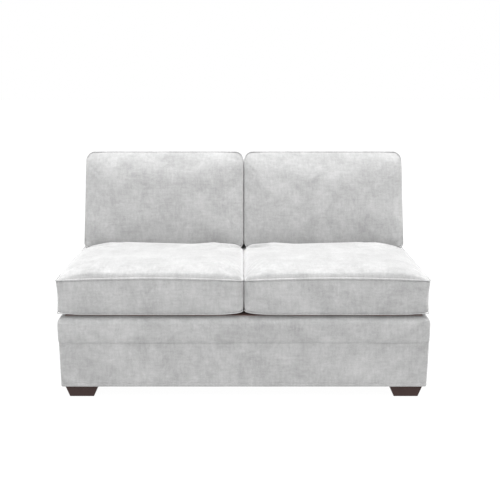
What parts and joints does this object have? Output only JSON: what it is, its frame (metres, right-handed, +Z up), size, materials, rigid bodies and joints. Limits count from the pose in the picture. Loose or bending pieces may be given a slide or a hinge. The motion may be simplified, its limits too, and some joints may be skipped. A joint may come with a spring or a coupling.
{
  "type": "armless loveseat sofa",
  "caption": "Armless sofa with loose box seat and back cushions on a tall upholstered base with a stepped band and low tapered block legs.",
  "frame": {"origin": "On the floor, below the centre of the bounding box.", "axes": "+Z up; the front of the sofa faces -Y; +X runs along the seat, to the right for someone who looks at the front."},
  "size_m": [1.524, 0.965, 0.9498],
  "materials": {
    "timber": "matte",
    "dark_wood": "satin",
    "zinc_steel": "satin",
    "spring_steel": "satin",
    "glide_plastic": "matte",
    "burlap": "matte",
    "foam": "matte",
    "fibre": "matte",
    "deck_cloth": "matte",
    "cover_cloth": "matte",
    "dust_cloth": "matte",
    "zip_tape": "matte",
    "zip_metal": "satin"
  },
  "bodies": {
    "base": {"front_rail": "timber", "rear_rail": "timber", "side_rail_left": "timber", "side_rail_right": "timber", "spring_rail": "timber", "centre_stretcher": "timber", "back_post_left": "timber", "back_post_centre": "timber", "back_post_right": "timber", "back_top_rail": "timber", "back_tack_rail": "timber", "corner_blocks": "timber", "leg_front_left": "dark_wood", "leg_front_right": "dark_wood", "leg_rear_left": "dark_wood", "leg_rear_right": "dark_wood", "hanger_bolts": "zinc_steel", "t_nuts": "zinc_steel", "seat_springs": "spring_steel", "spring_clips": "spring_steel", "spring_ties": "spring_steel", "leg_glides": "glide_plastic", "deck_burlap": "burlap", "back_webbing": "burlap", "deck_pad": "foam", "edge_roll": "foam", "back_padding": "foam", "back_top_roll": "foam", "deck_cloth": "deck_cloth", "inside_back": "deck_cloth", "front_band": "cover_cloth", "side_band_left": "cover_cloth", "side_band_right": "cover_cloth", "front_panel": "cover_cloth", "side_panel_left": "cover_cloth", "side_panel_right": "cover_cloth", "outside_back": "cover_cloth", "back_side_left": "cover_cloth", "back_side_right": "cover_cloth", "back_top_cover": "cover_cloth", "dust_cover": "dust_cloth"},
    "seat_cushion_left": {"seat_cover_left": "cover_cloth", "seat_wrap_left": "fibre", "seat_foam_left": "foam", "seat_zip_left": "zip_tape"},
    "back_cushion_left": {"back_cover_left": "cover_cloth", "back_fill_left": "fibre", "back_zip_left": "zip_tape"},
    "seat_slider_left": {"seat_zip_slider_left": "zip_metal"},
    "back_slider_left": {"back_zip_slider_left": "zip_metal"},
    "seat_cushion_right": {"seat_cover_right": "cover_cloth", "seat_wrap_right": "fibre", "seat_foam_right": "foam", "seat_zip_right": "zip_tape"},
    "back_cushion_right": {"back_cover_right": "cover_cloth", "back_fill_right": "fibre", "back_zip_right": "zip_tape"},
    "seat_slider_right": {"seat_zip_slider_right": "zip_metal"},
    "back_slider_right": {"back_zip_slider_right": "zip_metal"}
  },
  "joints": [
    {"name": "seat_lift_left", "type": "slide", "parent": "base", "child": "seat_cushion_left", "axis": [0, 0, 1], "range_m": [0, 0.65]},
    {"name": "back_lift_left", "type": "slide", "parent": "seat_cushion_left", "child": "back_cushion_left", "axis": [0, 0, 1], "range_m": [0, 0.48]},
    {"name": "seat_zip_left_pull", "type": "slide", "parent": "seat_cushion_left", "child": "seat_slider_left", "axis": [1, 0, 0], "range_m": [-0.54, 0]},
    {"name": "back_zip_left_pull", "type": "slide", "parent": "back_cushion_left", "child": "back_slider_left", "axis": [1, 0, 0], "range_m": [-0.54, 0]},
    {"name": "seat_lift_right", "type": "slide", "parent": "base", "child": "seat_cushion_right", "axis": [0, 0, 1], "range_m": [0, 0.65]},
    {"name": "back_lift_right", "type": "slide", "parent": "seat_cushion_right", "child": "back_cushion_right", "axis": [0, 0, 1], "range_m": [0, 0.48]},
    {"name": "seat_zip_right_pull", "type": "slide", "parent": "seat_cushion_right", "child": "seat_slider_right", "axis": [1, 0, 0], "range_m": [-0.54, 0]},
    {"name": "back_zip_right_pull", "type": "slide", "parent": "back_cushion_right", "child": "back_slider_right", "axis": [1, 0, 0], "range_m": [-0.54, 0]}
  ]
}
